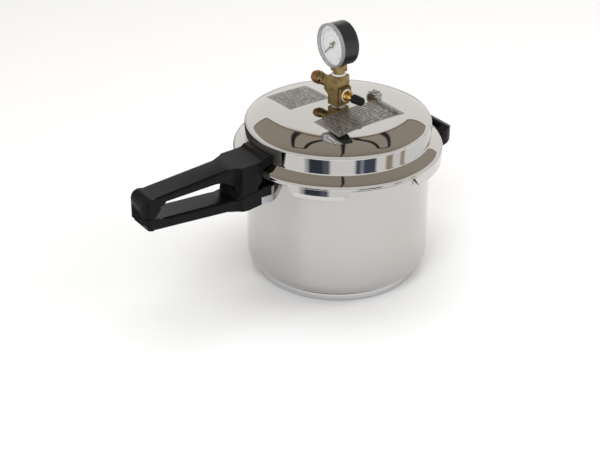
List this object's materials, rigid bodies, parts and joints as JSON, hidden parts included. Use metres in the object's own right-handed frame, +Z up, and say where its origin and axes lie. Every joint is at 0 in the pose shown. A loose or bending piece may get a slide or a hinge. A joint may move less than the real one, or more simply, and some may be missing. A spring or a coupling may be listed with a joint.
{
  "type": "pressure canner",
  "caption": "Lidded steel pressure pot with a twist-lock lid, long paired handle, helper handle, inner rack, and a lid manifold carrying a gauge, relief valve and fill valve.",
  "frame": {"origin": "centre of the base's underside, on the pot's axis", "axes": "+Z up along the pot's axis; the long handles point along -X and the helper handle along +X; the gauge faces -X"},
  "size_m": [0.4304, 0.25, 0.3146],
  "materials": {
    "polished_steel": "mirror-polished stainless steel",
    "rack_steel": "bright pressed aluminium",
    "aluminium_core": "rolled aluminium",
    "bracket_steel": "dull steel",
    "screw_steel": "zinc-plated steel",
    "black_phenolic": "satin black phenolic moulding",
    "seal_rubber": "black rubber",
    "manifold_brass": "dull olive-brown brass",
    "bright_brass": "bright brass",
    "red_brass": "coppery brass",
    "white_tape": "white thread tape",
    "grey_washer": "pale sealing washer",
    "black_case": "black painted steel",
    "clear_lens": "clear plastic lens",
    "white_dial": "white dial with a printed scale",
    "pointer_black": "black pointer",
    "spring_steel": "spring wire",
    "black_cap": "black valve cap",
    "chrome_nut": "chromed nut",
    "foil": "grey foil with fine ruled lines"
  },
  "bodies": {
    "pot": {"pot_body": "polished_steel", "base_core": "aluminium_core", "base_cap": "polished_steel", "pot_handle": "black_phenolic", "pot_handle_bracket": "bracket_steel", "pot_handle_screw": "screw_steel", "helper_handle": "black_phenolic", "helper_bracket": "bracket_steel"},
    "rack": {"rack": "rack_steel"},
    "seal": {"sealing_ring": "seal_rubber"},
    "lid": {"lid_shell": "polished_steel", "lid_handle": "black_phenolic", "lid_handle_bracket": "bracket_steel", "lid_handle_screw": "screw_steel", "manifold_block": "manifold_brass", "manifold_washer": "grey_washer", "manifold_locknut": "manifold_brass", "manifold_inner_washer": "grey_washer", "gauge_thread_tape": "white_tape", "relief_valve_body": "manifold_brass", "relief_spring": "spring_steel", "fill_valve_body": "bright_brass", "fill_thread_tape": "white_tape", "gauge_socket": "manifold_brass", "gauge_case": "black_case", "gauge_lens": "clear_lens", "gauge_dial": "white_dial", "gauge_movement": "bright_brass", "gauge_tube": "bright_brass", "vent_nut": "chrome_nut", "vent_washer": "seal_rubber", "front_foil_plate": "foil", "rear_foil_plate": "foil"},
    "relief_poppet": {"relief_poppet": "manifold_brass"},
    "relief_cap": {"relief_cap": "red_brass"},
    "fill_pin": {"fill_core_pin": "bright_brass"},
    "fill_cap": {"fill_valve_cap": "black_cap"},
    "pointer": {"pointer": "pointer_black", "pointer_arbor": "bright_brass"},
    "sector": {"sector_gear": "bright_brass"},
    "vent_pin": {"vent_pin": "chrome_nut"}
  },
  "joints": [
    {"name": "rack_lift", "type": "slide", "parent": "pot", "child": "rack", "axis": [0, 0, 1], "range_m": [0, 0.11]},
    {"name": "lid_lift", "type": "slide", "parent": "pot", "child": "seal", "axis": [0, 0, 1], "range_m": [0, 0.12]},
    {"name": "lid_turn", "type": "hinge", "parent": "seal", "child": "lid", "pos_m": [0, 0, 0.16], "axis": [0, 0, -1], "range_deg": [0, 36]},
    {"name": "relief_lift", "type": "slide", "parent": "lid", "child": "relief_poppet", "axis": [-0.1564, 0.9877, 0], "range_m": [0, 0.0015], "stiffness_N_per_m": 400, "deforming": ["relief_spring"]},
    {"name": "relief_adjust", "type": "hinge", "parent": "lid", "child": "relief_cap", "pos_m": [0, 0, 0.236], "axis": [-0.1564, 0.9877, 0], "range_deg": [-180, 180]},
    {"name": "fill_press", "type": "slide", "parent": "lid", "child": "fill_pin", "axis": [-0.1564, 0.9877, 0], "range_m": [0, 0.0012], "stiffness_N_per_m": 400},
    {"name": "fill_cap_off", "type": "slide", "parent": "lid", "child": "fill_cap", "axis": [0.1564, -0.9877, 0], "range_m": [0, 0.015]},
    {"name": "sector_turn", "type": "hinge", "parent": "lid", "child": "sector", "pos_m": [-0.0058, -0.01247, 0.2812], "axis": [1, 0, 0], "range_deg": [-54, 0], "stiffness_Nm_per_rad": 0.002},
    {"name": "pointer_turn", "type": "hinge", "parent": "lid", "child": "pointer", "pos_m": [-0.0058, 0, 0.2884], "axis": [1, 0, 0], "range_deg": [0, 270]},
    {"name": "vent_rise", "type": "slide", "parent": "lid", "child": "vent_pin", "axis": [0, 0, 1], "range_m": [0, 0.004]}
  ],
  "couplings": [
    {"joint": "pointer_turn", "follows": "sector_turn", "ratio": -5}
  ]
}
